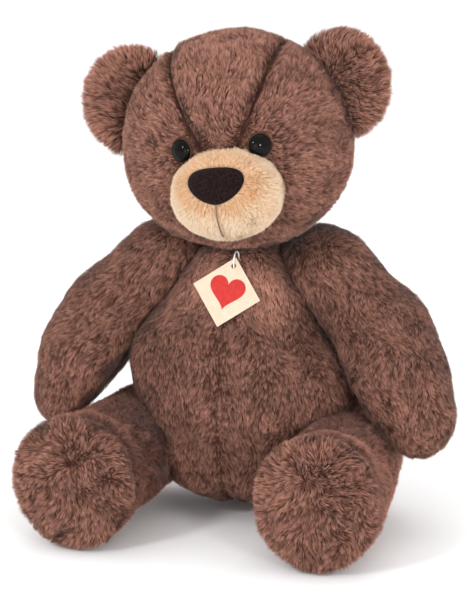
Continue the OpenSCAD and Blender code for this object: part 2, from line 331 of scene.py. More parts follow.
def to_ear(q, side):
    """The head's coordinates to the ear's own."""
    return (q - mirrored(EAR_MIDDLE[side], side)) @ turn_y(EAR_LEAN * side) @ turn_z(EAR_SWING * side)


def ear_shape(side):
    """A flat cushion, hollowed in front and seated on the head."""
    def shape(p):
        q = to_head(p)
        e = to_ear(q, side)
        cushion = ball(e, [0, 0, 0], EAR_HALF - SKIN_IN * 0.7)
        cup = ball(e, [-side * 4, -EAR_HALF[1] - 1, -4], EAR_CUP_HALF)
        return soft_max(soft_max(cushion, -cup, rounding=8), -(head_form(q, 0) + 1.5), rounding=5)
    return shape


MUZZLE = (np.array([2.5, -74, -31.0]), np.array([43.5, 33, 35.5]))
MUZZLE_IN = 1.5
LIP_DEPTH, LIP_WIDTH = 2.4, 3.2


def on_muzzle(x, z, proud=0.0):
    """How far forward the muzzle's face is at x, z, or a surface that stands proud of it."""
    middle, half = MUZZLE
    grown = half + proud
    inside = np.clip(1 - ((x - middle[0]) / grown[0]) ** 2 - ((z - middle[2]) / grown[2]) ** 2, 0, 1)
    return middle[1] - grown[1] * math.sqrt(inside)


MOUTH_TOP, MOUTH_END = -33.5, -62
MOUTH = [(0.6 * math.sin(i), on_muzzle(0.6 * math.sin(i), z, -MUZZLE_IN), z)
         for i, z in enumerate(np.linspace(MOUTH_TOP, MOUTH_END, 7))]


def muzzle_shape(p):
    q = to_head(p)
    return ball(q, MUZZLE[0], MUZZLE[1] - MUZZLE_IN) + LIP_DEPTH * near(line_distance(q, MOUTH)[0], LIP_WIDTH)


# ---------------------------------------------------------------- meshes

def sphere_net(level):
    net = bmesh.new()
    bmesh.ops.create_icosphere(net, subdivisions=level, radius=1.0)
    ways = np.array([v.co[:] for v in net.verts])
    faces = np.array([[v.index for v in f.verts] for f in net.faces])
    net.free()
    return unit(ways), faces


MARCH_STEPS, MARCH_SHARE = 90, 0.8


def star_surface(shape, middle, level, reach=260.0):
    """The outermost surface of a shape along rays from its middle: corners, triangles and normals."""
    ways, faces = sphere_net(level)
    middle = np.asarray(middle, float)
    t = np.full(len(ways), reach)
    for _ in range(MARCH_STEPS):
        t = np.clip(t - MARCH_SHARE * shape(middle + ways * t[:, None]), 1.0, reach)
    corners = middle + ways * t[:, None]
    return corners, faces, corner_normals(corners, faces)


def corner_normals(corners, faces):
    a, b, c = (corners[faces[:, i]] for i in range(3))
    face_normals = np.cross(b - a, c - a)
    normals = np.zeros_like(corners)
    for i in range(3):
        np.add.at(normals, faces[:, i], face_normals)
    return unit(normals)


def make_object(name, corners, faces, body, slot, material, smooth=True):
    mesh = bpy.data.meshes.new(name)
    mesh.from_pydata((np.asarray(corners) * MM).tolist(), [], [list(map(int, f)) for f in faces])
    mesh.polygons.foreach_set("use_smooth", [smooth] * len(mesh.polygons))
    mesh.materials.append(material)
    mesh.update()
    piece = bpy.data.objects.new(name, mesh)
    bpy.context.scene.collection.objects.link(piece)
    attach(piece, body)
    return piece


def set_tone_uv(piece, tone, height):
    """The layer that the plush materials read: u is the tone, v runs from root to tip."""
    layer = piece.data.uv_layers.new(name="OFBake")
    corner_of_loop = np.empty(len(piece.data.loops), dtype=np.int32)
    piece.data.loops.foreach_get("vertex_index", corner_of_loop)
    layer.data.foreach_set("uv", np.column_stack([tone, height])[corner_of_loop].astype(np.float32).ravel())


# ---------------------------------------------------------------- materials

def new_material(name):
    material = bpy.data.materials.new(name)
    material.use_nodes = True
    return material, material.node_tree.nodes, material.node_tree.links


def plain_settings(shader, **values):
    for key, value in values.items():
        shader.inputs[key.replace("_", " ")].default_value = value


def colour_ramp(nodes, stops):
    """A ramp node through (place, colour) stops."""
    node = nodes.new("ShaderNodeValToRGB")
    elements = node.color_ramp.elements
    for element, (place, colour) in zip(elements, (stops[0], stops[-1])):
        element.position = place
        element.color = (*colour, 1)
    for place, colour in stops[1:-1]:
        elements.new(place).color = (*colour, 1)
    return node


FIBRE_GLOW = 0.42


def plush_material(name, by_height, dark_tone, light_tone):
    """Colour by the strand's height, darker towards the root as painted shade deep in the pile, times its
    tone, with some light let through.
    """
    material, nodes, links = new_material(name)
    shader = nodes["Principled BSDF"]
    plain_settings(shader, Roughness=0.8, Specular_IOR_Level=0.12, Sheen_Weight=0.12, Sheen_Roughness=0.45,
                   Sheen_Tint=(*light_tone, 1))
    place = nodes.new("ShaderNodeUVMap")
    place.uv_map = "OFBake"
    split = nodes.new("ShaderNodeSeparateXYZ")
    height = colour_ramp(nodes, by_height)
    tone = colour_ramp(nodes, [(0.0, dark_tone), (1.0, light_tone)])
    both = nodes.new("ShaderNodeMix")
    both.data_type, both.blend_type = "RGBA", "MULTIPLY"
    both.inputs["Factor"].default_value = 1.0
    glow = nodes.new("ShaderNodeBsdfTranslucent")
    through = nodes.new("ShaderNodeMixShader")
    through.inputs[0].default_value = FIBRE_GLOW
    links.new(place.outputs["UV"], split.inputs[0])
    links.new(split.outputs["Y"], height.inputs[0])
    links.new(split.outputs["X"], tone.inputs[0])
    links.new(height.outputs[0], both.inputs["A"])
    links.new(tone.outputs[0], both.inputs["B"])
    links.new(both.outputs["Result"], shader.inputs["Base Color"])
    links.new(both.outputs["Result"], glow.inputs["Color"])
    links.new(shader.outputs[0], through.inputs[1])
    links.new(glow.outputs[0], through.inputs[2])
    links.new(through.outputs[0], nodes["Material Output"].inputs["Surface"])
    return material


def speckled_material(name, dark, light, scale, roughness, bump=0.0, **settings):
    """A two-tone noise over the piece's own coordinates, with an optional fine relief."""
    material, nodes, links = new_material(name)
    shader = nodes["Principled BSDF"]
    plain_settings(shader, Roughness=roughness, **settings)
    place = nodes.new("ShaderNodeTexCoord")
    noise = nodes.new("ShaderNodeTexNoise")
    noise.inputs["Scale"].default_value = scale
    noise.inputs["Detail"].default_value = 4.0
    speckle = colour_ramp(nodes, [(0.3, dark), (0.7, light)])
    links.new(place.outputs["Object"], noise.inputs["Vector"])
    links.new(noise.outputs["Fac"], speckle.inputs[0])
    links.new(speckle.outputs[0], shader.inputs["Base Color"])
    if bump:
        relief = nodes.new("ShaderNodeBump")
        relief.inputs["Strength"].default_value = bump
        relief.inputs["Distance"].default_value = 0.5 * MM
        links.new(noise.outputs["Fac"], relief.inputs["Height"])
        links.new(relief.outputs[0], shader.inputs["Normal"])
    return material


# Both plushes darken from tip to root: painted shade deep in the pile.
BROWN = plush_material(
    "brown_plush_fibres",
    by_height=[(0.0, (0.07, 0.026, 0.017)), (0.45, (0.24, 0.104, 0.071)), (1.0, (0.53, 0.288, 0.215))],
    dark_tone=(0.32, 0.29, 0.27), light_tone=(1.60, 1.64, 1.68))
CREAM = plush_material(
    "cream_plush_fibres",
    by_height=[(0.0, (0.64, 0.49, 0.34)), (0.5, (0.82, 0.69, 0.53)), (1.0, (0.95, 0.87, 0.75))],
    dark_tone=(0.92, 0.62, 0.38), light_tone=(1.0, 0.99, 0.96))
FELT = speckled_material("nose_felt", (0.003, 0.0018, 0.0018), (0.021, 0.0105, 0.011), 600, 1.0, 0.9,
                         Sheen_Weight=0.03, Sheen_Roughness=0.5, Specular_IOR_Level=0.05)
THREAD = speckled_material("mouth_thread", (0.10, 0.05, 0.03), (0.22, 0.125, 0.075), 1500, 0.7, 0.5)
SEAM_THREAD = speckled_material("closing_thread", (0.07, 0.04, 0.03), (0.14, 0.085, 0.06), 1500, 0.7, 0.5)
CARD = speckled_material("tag_card", (0.55, 0.42, 0.30), (0.63, 0.49, 0.36), 120, 0.45, 0.05)
RED_PRINT = speckled_material("tag_heart_print", (0.42, 0.014, 0.012), (0.52, 0.024, 0.018), 300, 0.5,
                              Specular_IOR_Level=0.2)
LOOP = speckled_material("tag_loop_plastic", (0.80, 0.80, 0.78), (0.88, 0.88, 0.86), 200, 0.3)
EYE_BLACK = speckled_material("eye_black", (0.0015, 0.001, 0.001), (0.004, 0.003, 0.003), 60, 0.02,
                              Specular_IOR_Level=0.11)
EYE_BROWN = speckled_material("eye_rim_brown", (0.03, 0.012, 0.005), (0.06, 0.026, 0.011), 200, 0.4,
                              Specular_IOR_Level=0.15)
WADDING = speckled_material("polyester_wadding", (0.78, 0.78, 0.76), (0.92, 0.92, 0.90), 90, 0.95, 1.0)
JOINT_PLASTIC = speckled_material("joint_plastic", (0.72, 0.72, 0.68), (0.82, 0.82, 0.78), 150, 0.4, 0.1)


# ---------------------------------------------------------------- fur

# A strand is a ribbon with two corners at its root, two at its bend and one at its tip
PILE_STEPS = np.array([0.0, 0.5, 1.0])
STEP_OF_CORNER = [0, 1, 0, 1, 2]
CORNER_SIDE = np.array([-1, -1, 1, 1, 0])
BENDS = (0.6, 1.4)
BEND_WIDTH = 0.9
# How much of a clump's pull each step feels
CLUMP_PULL = np.array([0.0, 0.3, 1.0])
ROOT_DEPTH = 0.5
# A piece holds no more strands than this, at three triangles each
MOST_STRANDS = 66000


def spread_roots(rng, corners, faces, normals, density):
    """Roots spread evenly over a surface, so many to a square millimetre: places and normals."""
    a, b, c = (corners[faces[:, i]] for i in range(3))
    area = length_of(np.cross(b - a, c - a)) / 2
    ends = np.cumsum(area)
    count = int(ends[-1] * density)
    pick = np.searchsorted(ends, (np.arange(count) + rng.random(count)) / count * ends[-1])
    pick = np.minimum(pick, len(faces) - 1)
    u, v = rng.random(count), rng.random(count)
    flip = u + v > 1
    u, v = np.where(flip, 1 - u, u), np.where(flip, 1 - v, v)
    weights = np.stack([1 - u - v, u, v], 1)
    roots = (corners[faces[pick]] * weights[..., None]).sum(1)
    return roots, unit((normals[faces[pick]] * weights[..., None]).sum(1))


def comb_strands(rng, way, roots, normals, seed, swirl_size, wander):
    """Directions along the surface: the combed way, with slow swirls and every strand's own waywardness."""
    swirl = np.stack([waves(roots, seed + i, swirl_size) for i in (1, 2, 3)], 1)
    way = unit(way) + wander * swirl + rng.normal(0, 0.22, (len(roots), 3))
    return unit(way - (way * normals).sum(1)[:, None] * normals)


def strand_lines(roots, normals, way, tall, lay):
    """Root, bend and tip of every strand, which rises first and then lies over."""
    line = [roots - normals * ROOT_DEPTH]
    for share, bend in zip(np.diff(PILE_STEPS), BENDS):
        angle = (lay * bend)[:, None]
        line.append(line[-1] + (normals * np.cos(angle) + way * np.sin(angle)) * (tall * share)[:, None])
    return np.stack(line, 1)


def clump_of(rng, roots, spacing):
    """For every root, the index of the root at the heart of its clump."""
    count = max(1, int(len(roots) / spacing))
    hearts = rng.choice(len(roots), count, replace=False)
    tree = kdtree.KDTree(count)
    for heart in hearts:
        tree.insert(roots[heart], int(heart))
    tree.balance()
    return np.array([tree.find(r)[1] for r in roots])


def ribbon_corners(rng, line, normals, tall, width):
    """The five corners of every strand's ribbon, each ribbon a little twisted."""
    count = len(line)
    twist = rng.normal(0, 0.25, (count, 3)) * tall[:, None] * 0.5
    across = unit(np.cross(line[:, 2] - line[:, 0], normals) + twist)
    half = width / 2 * rng.uniform(0.8, 1.25, count)
    sides = across[:, None, :] * half[:, None, None] * np.array([1.0, BEND_WIDTH])[:, None]
    return np.concatenate([line[:, :2] - sides, line[:, :2] + sides, line[:, 2:]], 1)


def ribbon_normals(normals, line):
    """Shading normals between the cloth's own and each ribbon's, at its five corners."""
    leans = unit(np.diff(line, axis=1))
    along = np.stack([leans[:, 0], unit(leans[:, 0] + leans[:, 1]), leans[:, 1]], 1)
    cloth = normals[:, None, :]
    face = unit(cloth - along * (along * cloth).sum(-1)[..., None])
    mixed = unit(cloth * 0.3 + face * 0.7)
    return mixed[:, STEP_OF_CORNER]


def strand_shade(rng, roots, hearts, seed, contrast):
    """Every strand's tone about a middle of 0.5: broad and fine mottling, its clump's tone and its own."""
    clump_tone = rng.normal(0, 0.21, len(roots))
    mottle = 0.06 * waves(roots, seed + 6, 26) + 0.12 * waves(roots, seed + 7, 7)
    return 0.5 + contrast * (mottle + rng.normal(0, 0.22, len(roots)) + clump_tone[hearts])


def grow_fur(name, body, surface, comb, seed, length=7.0, density=2.7, width=0.33, lean=0.95, clump=0.42,
             per_clump=10, keep=None, shorten=None, tone=None, material=None, floor=True,
             swirl_size=30, wander=0.5, contrast=1.25, lift=None):
    """Tapered ribbons that stand on a surface, lean along the comb direction and gather in clumps.

    Functions of the roots say more: keep, which stay; comb, which way they lie; shorten, their share of the
    length; tone, how much lighter they are; lift, how far up the strand's colours they start.
    """
    rng = np.random.default_rng(seed)
    roots, normals = spread_roots(rng, *surface, density)
    if keep is not None:
        stay = keep(roots, normals)
        roots, normals = roots[stay], normals[stay]
    count = len(roots)
    way = comb_strands(rng, comb(roots), roots, normals, seed, swirl_size, wander)
    tall = length * rng.uniform(0.75, 1.1, count) * (1 + 0.1 * waves(roots, seed + 4, 12))
    if shorten is not None:
        tall = tall * shorten(roots)
    lay = lean * (1 + 0.13 * waves(roots, seed + 5, 15)) + rng.normal(0, 0.12, count)
    line = strand_lines(roots, normals, way, tall, lay)
    hearts = clump_of(rng, roots, per_clump)
    gather = (line[hearts, 2] - line[:, 2]) * clump
    line += gather[:, None, :] * CLUMP_PULL[None, :, None]
    if floor:
        line[..., 2] = np.maximum(line[..., 2], 0.4 + 0.8 * PILE_STEPS)
    corners = ribbon_corners(rng, line, normals, tall, width)
    shine = ribbon_normals(normals, line)
    shade = strand_shade(rng, roots, hearts, seed, contrast)
    if tone is not None:
        shade = shade + tone(roots)
    across_uv = np.clip(shade, 0.02, 0.98)[:, None] + 0.006 * CORNER_SIDE
    height_uv = np.tile(PILE_STEPS[STEP_OF_CORNER], (count, 1))
    if lift is not None:
        height_uv = height_uv + (1 - height_uv) * lift(roots)[:, None]
    parts = math.ceil(count / MOST_STRANDS)
    order = np.argsort(roots[:, 1], kind="stable")
    for i, mine in enumerate(np.array_split(order, parts)):
        piece = make_ribbons(name if parts == 1 else f"{name}_{i + 1}", corners[mine], shine[mine])
        piece.data.materials.append(material or BROWN)
        set_tone_uv(piece, across_uv[mine].ravel(), height_uv[mine].ravel())
        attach(piece, body)


def make_ribbons(name, corners, normals):
    """A mesh of five-cornered ribbons, each a quad and a triangle, filled straight from arrays."""
    count, per_strand = corners.shape[:2]
    base = np.arange(count)[:, None] * per_strand
    quads, tips = base + [0, 2, 3, 1], base + [1, 3, 4]
    mesh = bpy.data.meshes.new(name)
    mesh.vertices.add(count * per_strand)
    mesh.vertices.foreach_set("co", (corners * MM).astype(np.float32).ravel())
    loops = np.concatenate([quads.ravel(), tips.ravel()]).astype(np.int32)
    mesh.loops.add(len(loops))
    mesh.loops.foreach_set("vertex_index", loops)
    mesh.polygons.add(2 * count)
    starts = np.concatenate([np.arange(count) * 4, count * 4 + np.arange(count) * 3])
    mesh.polygons.foreach_set("loop_start", starts.astype(np.int32))
    mesh.update(calc_edges=True)
    mesh.polygons.foreach_set("use_smooth", [True] * (2 * count))
    mesh.attributes.new("custom_normal", "FLOAT_VECTOR", "POINT").data.foreach_set(
        "vector", normals.astype(np.float32).ravel())
    piece = bpy.data.objects.new(name, mesh)
    bpy.context.scene.collection.objects.link(piece)
    return piece


def skin_object(name, surface, body, replaces, seed, material=None, slot="brown_plush"):
    """The backing cloth under the fur, in the dark tone of the pile's roots: painted shade deep in the pile.
    """
    corners, faces, _ = surface
    piece = make_object(name, corners, faces, body, slot, material or BROWN)
    set_tone_uv(piece, np.clip(0.4 + 0.2 * waves(corners, seed, 12), 0.02, 0.98),
                np.clip(0.06 + 0.05 * waves(corners, seed + 1, 4), 0, 1))
    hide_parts(*replaces)


def wadding_object(name, shape, middle, body, node):
    """The filling, a loose closed form inside the skin."""
    corners, faces, normals = star_surface(shape, middle, 5)
    corners = corners + normals * (0.8 * waves(corners, 7, 9))[:, None]
    piece = make_object(name, corners, faces, body, "filling", WADDING)
    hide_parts(node)


# ---------------------------------------------------------------- torso

TORSO_MIDDLE = [0, AXIS_Y, 105]


def torso_skin_shape(p):
    """The torso with uneven stuffing, and a seam down its middle that draws in more between the legs."""
    d = torso_shape(p) + 0.9 * waves(p, 11, 70)
    low = 1 + 1.5 * near(p[:, 2] - 18, 16)
    d = d + 1.6 * low * near(p[:, 0], 5) * (p[:, 1] < AXIS_Y)
    return d + 1.8 * near(p[:, 0], 4) * (p[:, 1] > AXIS_Y)


def torso_keep(p, n):
    """No pile where a limb or the head lies against the torso."""
    q = on_left(p)
    on_shoulder = (np.abs(shoulder_side(q)) < 3) & (length_of(q - SHOULDER_FACE) < 24)
    facing_out = n[:, 0] * np.sign(p[:, 0]) > 0.7
    on_hip = (q[:, 0] > HIP[0] - 4) & (length_of((q - HIP)[:, 1:]) < 30) & facing_out
    on_neck = (p[:, 2] > NECK[2] - 4) & (length_of((p - NECK)[:, :2]) < 22)
    return ~(on_shoulder | on_hip | on_neck)


def torso_shorten(p):
    return 1 - 0.45 * near(p[:, 0], 2.6)


def chest_painted_light(p):
    """How much painted light a place on the chest under the chin gets, against the shade the head casts there,
    from 0 to 1.
    """
    return ramp(p[:, 2], 155, 195) * ramp(AXIS_Y - 8 - p[:, 1], 0, 36)


def torso_tone_and_painted_light(p):
    """The chest's pile shows more of its light tips, as painted light against the head's shade; the belly's
    less, with painted shade along its middle seam.
    """
    return 0.5 * chest_painted_light(p) - 0.07 - 0.22 * near(p[:, 0], 2.4)


def torso_comb(p):
    """Down and a little forward, parting at the middle seam."""
    part = np.clip(p[:, 0] / 10, -1, 1) * near(p[:, 0], 14)
    return np.stack([0.7 * part, np.full(len(p), -0.15), np.full(len(p), -1.0)], 1)


def make_torso():
    surface = star_surface(torso_skin_shape, TORSO_MIDDLE, 6)
    skin_object("torso_skin", surface, "torso", ["torso_cover"], 20)
    wadding_object("torso_wadding", lambda p: torso_shape(p, FILL_IN), TORSO_MIDDLE, "torso",
                   "torso_stuffing")
    # The chest's painted light also lifts its root colours.
    grow_fur("torso_fur", "torso", surface, torso_comb, 100, keep=torso_keep, shorten=torso_shorten,
             tone=torso_tone_and_painted_light, lift=lambda p: 0.75 * chest_painted_light(p))


# ---------------------------------------------------------------- head

def head_skin_shape(p):
    return head_shape(p) + 0.6 * waves(p, 31, 55)


def head_wadding_shape(p):
    return soft_max(head_form(to_head(p), FILL_IN + 3), NECK[2] + 5 - p[..., 2], rounding=4)


def muzzle_gap(q):
    return ball(q, *MUZZLE)


def head_keep(p, n):
    """No pile under the muzzle, the eyes and the ears, on the neck's face or in the forehead seams."""
    q = to_head(p)
    bare = (muzzle_gap(q) < -1.0) | (seam_gap(q) < 0.8)
    bare |= (p[:, 2] < NECK[2] + 4) & (length_of((p - NECK)[:, :2]) < 24)
    for side in (LEFT, RIGHT):
        bare |= (eye_gap(q, side) < 8.6) | (ear_shape(side)(p) < 1.0)
    return ~bare


def head_comb(p):
    """Up and back over the forehead, outward and down over the cheeks, and apart at the forehead seams."""
    q = to_head(p)
    fore = ramp(q[:, 2], 5, 35)[:, None]
    local = (q - [0, -60, 2.0]) * [1.0, 0.35, 0.8] + fore * [0, 20, 45.0]
    outward = np.sign(q[:, 0]) * np.sign(seam_side(q))
    local = local + (outward * near(seam_gap(q), 8) * 90)[:, None] * [1, 0, 0]
    return unit(local) @ HEAD_AXES.T


def head_shorten(p):
    q = to_head(p)
    tall = 1 - 0.65 * near(seam_gap(q), 2.6)
    for side in (LEFT, RIGHT):
        tall -= 0.55 * near(eye_gap(q, side), 15)
    tall -= 0.35 * np.exp(-np.maximum(muzzle_gap(q), 0) / 7)
    return np.clip(tall, 0.25, 1)


def head_painted_light(p):
    """Painted highlight between the forehead seams, growing up the forehead, and painted shade in the seams.
    """
    q = to_head(p)
    return 0.14 * ramp(q[:, 2], 10, 40) * (np.abs(q[:, 0]) < 34) - 0.5 * near(seam_gap(q), 2.2)


def make_head():
    surface = star_surface(head_skin_shape, HEAD_MIDDLE, 6)
    skin_object("head_skin", surface, "head", ["head_cover"], 40)
    wadding_object("head_wadding", head_wadding_shape, HEAD_MIDDLE, "head", "head_stuffing")
    grow_fur("head_fur", "head", surface, head_comb, 200, length=7.4, keep=head_keep, shorten=head_shorten,
             tone=head_painted_light, lean=0.8)


def make_ear(side):
    word = SIDE_NAME[side]
    middle = from_head(mirrored(EAR_MIDDLE[side] + [8, 0, 4], side))
    surface = star_surface(ear_shape(side), middle, 5, reach=90)
    skin_object(f"ear_{word}_skin", surface, "head", [f"ear_{word}"], 60 + side)

    def comb(p):
        """Away from the ear's root."""
        return unit(to_head(p) - [side * 62, 0, 30.0]) @ HEAD_AXES.T

    def keep(p, n):
        return head_form(to_head(p), 0) > -0.5

    def tone(p):
        """A little lighter towards the rim."""
        rim = length_of((to_ear(to_head(p), side) / EAR_HALF)[:, [0, 2]])
        return 0.16 + 0.12 * ramp(rim, 0.6, 0.9)

    grow_fur(f"ear_{word}_fur", "head", surface, comb, 300 + side, length=8.6, keep=keep, lean=0.85,
             density=1.7, tone=tone, floor=False)


def muzzle_keep(p, n):
    q = to_head(p)
    on_nose = nose_inside(q[:, 0], q[:, 2]) & (q[:, 1] < MUZZLE[0][1])
    return (head_form(q, SKIN_IN) > -1) & ~on_nose


def muzzle_comb(p):
    """Away from the nose, and a little down and back."""
    return unit((to_head(p) - [0, -100, -20]) * [1, 0.5, 1] + [0, 6, -6]) @ HEAD_AXES.T


def muzzle_shorten(p):
    return 1 - 0.6 * near(line_distance(to_head(p), MOUTH)[0], 2.0)


def muzzle_tone(p):
    """Warmer in a ring round the nose and on the left cheek."""
    q = to_head(p)[:, [0, 2]]
    ring = near(length_of((q - [0, -20]) / [27, 19]) - 0.9, 0.35)
    cheek = near(length_of((q - [30, -34]) / [13, 20]), 1)
    return 0.42 - 0.5 * ring - 0.22 * cheek


def make_muzzle():
    surface = star_surface(muzzle_shape, from_head(MUZZLE[0]), 5, reach=70)
    skin_object("muzzle_skin", surface, "head", ["muzzle_cover"], 70, material=CREAM, slot="beige_plush")
    grow_fur("muzzle_fur", "head", surface, muzzle_comb, 400, length=4.4, density=2.4, width=0.42, lean=0.75,
             clump=0.35, contrast=0.5, keep=muzzle_keep, shorten=muzzle_shorten, tone=muzzle_tone,
             material=CREAM)


# ---------------------------------------------------------------- face

NOSE_Z, NOSE_HALF_W = -17.5, 22.0
NOSE_UP, NOSE_DOWN = 10.6, 16.4
NOSE_POWER_UP, NOSE_POWER_DOWN = 2.5, 1.65
NOSE_CROWN, NOSE_EDGE, NOSE_FOOT = 2.4, -0.6, -2.5


def nose_edge(angle):
    """The nose's outline, a low arch over a rounded point: distance from its widest level's middle."""
    x, z = np.cos(angle), np.sin(angle)
    reach = np.where(z > 0, NOSE_UP, NOSE_DOWN)
    power = np.where(z > 0, NOSE_POWER_UP, NOSE_POWER_DOWN)
    return (np.abs(x / NOSE_HALF_W) ** power + np.abs(z / reach) ** power) ** (-1 / power)


def nose_inside(x, z):
    away = np.hypot(x, z - NOSE_Z)
    return away < nose_edge(np.arctan2(z - NOSE_Z, x)) - 0.6


def make_nose():
    """A felt pad that crowns over the muzzle, from rings that follow its outline."""
    turns, rings = 96, 16
    angles = np.linspace(0, 2 * math.pi, turns, endpoint=False)
    edge = nose_edge(angles)

    def ring(share, proud):
        outline = [(e * share * math.cos(a), NOSE_Z + e * share * math.sin(a)) for a, e in zip(angles, edge)]
        return [(x, on_muzzle(x, z, proud), z) for x, z in outline]

    corners = [(0, on_muzzle(0, NOSE_Z, NOSE_CROWN), NOSE_Z)]
    for share in np.arange(1, rings + 1) / rings:
        corners += ring(share, NOSE_CROWN + (NOSE_EDGE - NOSE_CROWN) * share ** 5)
    corners += ring(0.97, NOSE_FOOT)
    corners.append((0, on_muzzle(0, NOSE_Z, NOSE_FOOT), NOSE_Z))
    faces = [(0, 1 + i, 1 + (i + 1) % turns) for i in range(turns)]
    for first in range(1, 1 + rings * turns, turns):
        for i in range(turns):
            j = (i + 1) % turns
            faces.append((first + i, first + turns + i, first + turns + j, first + j))
    foot = 1 + rings * turns
    faces += [(foot + i, len(corners) - 1, foot + (i + 1) % turns) for i in range(turns)]
    piece = make_object("nose_felt_pad", from_head(corners), faces, "head", "nose_felt", FELT)
    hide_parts("nose_pad")


def tube(points, radius, sides=8):
    """Corners and faces of a closed round tube through the points."""
    points = np.asarray(points, float)
    way = unit(np.gradient(points, axis=0))
    up = unit(np.cross(way, [0.31, 0.17, 0.93]))
    over = np.cross(way, up)
    angles = np.linspace(0, 2 * math.pi, sides, endpoint=False)[:, None]
    rings = points[:, None] + radius * (up[:, None] * np.cos(angles) + over[:, None] * np.sin(angles))
    corners = np.concatenate([rings.reshape(-1, 3), points[[0, -1]]])
    faces = []
    for r in range(len(points) - 1):
        for i in range(sides):
            j = (i + 1) % sides
            faces.append((r * sides + i, r * sides + j, (r + 1) * sides + j, (r + 1) * sides + i))
    first, last = len(corners) - 2, len(corners) - 1
    end = (len(points) - 1) * sides
    faces += [(first, (i + 1) % sides, i) for i in range(sides)]
    faces += [(last, end + i, end + (i + 1) % sides) for i in range(sides)]
    return corners, faces


def make_mouth():
    """One line of thread from the nose's point down the muzzle, curving a little."""
    zs = np.linspace(MOUTH_TOP, MOUTH_END + 1, 24)
    xs = 0.9 * np.sin((zs + 32) / 11)
    line = [(x, on_muzzle(x, z, -0.2), z) for x, z in zip(xs, zs)]
    corners, faces = tube(from_head(line), radius=0.5)
    piece = make_object("mouth_thread", corners, faces, "head", "mouth_thread", THREAD)
    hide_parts("mouth_stitch")


def lathe(profile, turns=64):
    """Corners and faces of a closed turned form about local Z, from (radius, height) points."""
    angles = np.linspace(0, 2 * math.pi, turns, endpoint=False)
    corners, faces, rows = [], [], []
    for radius, height in profile:
        if radius < 1e-6:
            rows.append([len(corners)] * turns)
            corners.append((0, 0, height))
        else:
            rows.append(list(range(len(corners), len(corners) + turns)))
            corners += [(radius * math.cos(a), radius * math.sin(a), height) for a in angles]
    for low, high in zip(rows, rows[1:]):
        for i in range(turns):
            j = (i + 1) % turns
            ring = [low[i], low[j], high[j], high[i]]
            ring = [c for k, c in enumerate(ring) if c not in ring[:k]]
            if len(ring) > 2:
                faces.append(ring)
    return np.array(corners), faces


EYE_OUT = math.radians(27)
EYE_R, DOME_H, DOME_BASE = 9.0, 5.8, -1.4
EYE_BACK = -2.2
SHANK_R, SHANK_END = 2.2, -12
RIM_R, RIM_LEVEL = 0.75, -0.9


def eye_profile(steps=18):
    """A shank with a flat-backed dome on it."""
    arc = [i / steps * math.pi / 2 for i in range(steps)]
    dome = [(EYE_R * math.cos(a), DOME_BASE + DOME_H * math.sin(a)) for a in arc]
    return [(0, SHANK_END), (SHANK_R, SHANK_END), (SHANK_R, EYE_BACK), (EYE_R * 0.98, EYE_BACK), *dome,
            (0, DOME_BASE + DOME_H)]


def rim_profile(steps=12):
    """A thin ring round the dome's foot."""
    middle = EYE_R + 0.25
    around = np.linspace(0, 2 * math.pi, steps + 1)[:-1]
    rim = [(middle + RIM_R * math.cos(a), RIM_LEVEL + RIM_R * math.sin(a)) for a in around]
    return rim + rim[:1]


def make_eye(side):
    word = SIDE_NAME[side]
    out = unit(np.array([side * math.sin(EYE_OUT), -math.cos(EYE_OUT), 0.05]))
    right = unit(np.cross([0, 0, 1.0], out))
    axes = np.stack([right, np.cross(out, right), out])

    def turned(profile):
        corners, faces = lathe(profile)
        return from_head(corners @ axes + EYE_PLACE[side]), faces

    eye = make_object(f"eye_{word}_dome", *turned(eye_profile()), "head", "eye_black", EYE_BLACK)
    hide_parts(f"eye_{word}")
    make_object(f"eye_{word}_rim", *turned(rim_profile()), "head", "eye_black", EYE_BROWN)


# ---------------------------------------------------------------- limbs

def along_limb(p, side, stations):
    """The limb's own direction at each place."""
    _, where = line_distance(mirrored(p, side), stations)
    ways = unit(np.diff(np.asarray(stations, float), axis=0))
    at = np.clip(where * len(ways), 0, len(ways) - 1e-6)
    blend = ramp(at, 0.7, 1.3)[:, None] if len(ways) > 1 else 0
    return mirrored(ways[0] * (1 - blend) + ways[-1] * blend, side)


ARM_SEAM = [(92, AXIS_Y - 33, 178), (110, AXIS_Y - 40, 156), (125, AXIS_Y - 55, 120), (141, AXIS_Y - 60, 88)]
# A notch under the hand, where the seam turns
NOTCH, NOTCH_HALF = HAND + [6, -22, -26], [2.5, 16, 14]


def make_arm(side):
    word = SIDE_NAME[side]
    body = f"arm_{word}"

    def seam_near(p):
        return line_distance(mirrored(p, side), ARM_SEAM)[0]

    def shape(p):
        d = arm_shape(side)(p) + 0.6 * waves(p, 80 + side, 52)
        notch = length_of((mirrored(p, side) - NOTCH) / NOTCH_HALF)
        return d + 2.4 * near(seam_near(p), 3.6) + 4 * near(notch, 1)

    def comb(p):
        return along_limb(p, side, [SHOULDER, ELBOW, HAND]) + [0, 0, -0.3]

    def keep(p, n):
        """No pile where the arm lies against the torso."""
        q = mirrored(p, side)
        return ~((np.abs(shoulder_side(q)) < 3) & (length_of(q - SHOULDER_FACE) < 26))

    def shorten(p):
        return 1 - 0.5 * near(seam_near(p), 2.6)

    # Painted shade along the arm's seam.
    def tone(p):
        return -0.22 * near(seam_near(p), 3.2)

    surface = star_surface(shape, mirrored(ELBOW, side), 6)
    skin_object(f"{body}_skin", surface, body, [f"arm_cover_{word}"], 90 + side)
    wadding_object(f"{body}_wadding", arm_shape(side, FILL_IN), mirrored(ELBOW, side), body,
                   f"arm_stuffing_{word}")
    grow_fur(f"{body}_fur", body, surface, comb, 500 + side, keep=keep, shorten=shorten, tone=tone)


# A fold across each sole, from the middle of the foot at its front
SOLE_CREASE = {
    RIGHT: [(18, -8, 12), (32, -5, -6), (40, 0, -23), (43, 6, -44)],
    LEFT: [(8, -9, 22), (20, -8, 5), (32, -5, -10), (34, -2, -31)],
}
